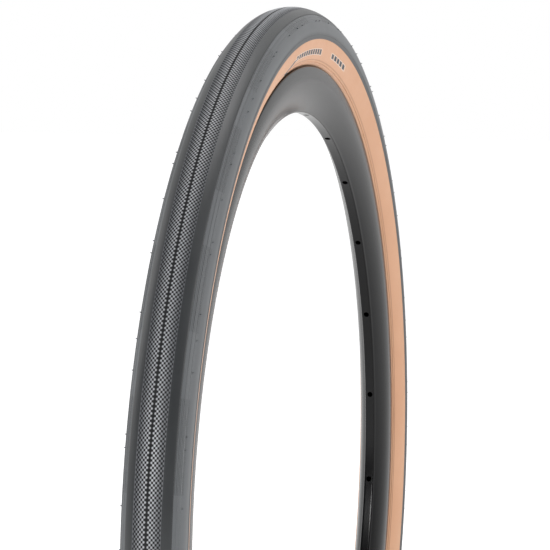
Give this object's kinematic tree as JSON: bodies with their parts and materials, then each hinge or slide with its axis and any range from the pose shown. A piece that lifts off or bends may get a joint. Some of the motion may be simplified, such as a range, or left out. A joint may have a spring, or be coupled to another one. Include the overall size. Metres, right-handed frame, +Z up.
{
  "type": "bicycle tyre on rim",
  "caption": "Slick bicycle tyre with a knurled centre and tan sides, inflated on a bare black hollow rim drilled for spokes, with a tubeless valve.",
  "frame": {"origin": "the wheel's centre, on the axle line and in the wheel's mid plane", "axes": "+Z up with the valve straight below the centre, +Y along the axle, +X along the way the wheel rolls; left pieces are on -Y"},
  "size_m": [0.7199, 0.0414, 0.72],
  "materials": {
    "tread_rubber": "matte, finely knurled black rubber",
    "shoulder_rubber": "smooth satin black rubber",
    "side_rubber": "smooth black rubber with fine moulding lines",
    "tan_rubber": "thin tan rubber over woven casing",
    "belt_fabric": "woven puncture belt in rubber",
    "casing_fabric": "rubbered nylon ply",
    "liner_rubber": "smooth butyl",
    "bead_cord": "aramid cord",
    "rim_black": "black anodised, semi-gloss",
    "tape_film": "thin tape",
    "valve_metal": "nickel plated",
    "valve_rubber": "black rubber",
    "spring_steel": "drawn wire",
    "nut_metal": "black anodised"
  },
  "bodies": {
    "wheel": {"tread_centre": "tread_rubber", "tread_shoulder_left": "shoulder_rubber", "tread_shoulder_right": "shoulder_rubber", "side_band_left": "side_rubber", "side_band_right": "side_rubber", "sidewall_left": "tan_rubber", "sidewall_right": "tan_rubber", "bead_strip_left": "tan_rubber", "bead_strip_right": "tan_rubber", "breaker_belt": "belt_fabric", "casing_ply_outer": "casing_fabric", "casing_ply_inner": "casing_fabric", "inner_liner": "liner_rubber", "bead_core_left": "bead_cord", "bead_core_right": "bead_cord", "rim_body": "rim_black", "rim_tape": "tape_film", "valve_stem": "valve_metal", "valve_grommet": "valve_rubber", "valve_core": "valve_metal", "valve_spring": "spring_steel"},
    "seal_ring": {"valve_o_ring": "valve_rubber"},
    "lock_nut": {"valve_lock_nut": "nut_metal"},
    "pin": {"valve_pin": "valve_metal", "valve_seal": "valve_rubber"},
    "tip_nut": {"valve_tip_nut": "valve_metal"}
  },
  "joints": [
    {"name": "lock_nut_travel", "type": "slide", "parent": "wheel", "child": "seal_ring", "axis": [0, 0, 1], "range_m": [0, 0.004]},
    {"name": "lock_nut_turn", "type": "hinge", "parent": "seal_ring", "child": "lock_nut", "pos_m": [0, 0, -0.279], "axis": [0, 0, 1], "range_deg": [0, 1800]},
    {"name": "pin_press", "type": "slide", "parent": "wheel", "child": "pin", "axis": [0, 0, -1], "range_m": [0, 0.0012], "stiffness_N_per_m": 400, "springref_m": -0.002, "deforming": ["valve_spring"]},
    {"name": "tip_nut_travel", "type": "slide", "parent": "pin", "child": "tip_nut", "axis": [0, 0, 1], "range_m": [-0.00275, 0]}
  ],
  "couplings": [
    {"joint": "lock_nut_turn", "follows": "lock_nut_travel", "rad_per_m": 7854}
  ]
}
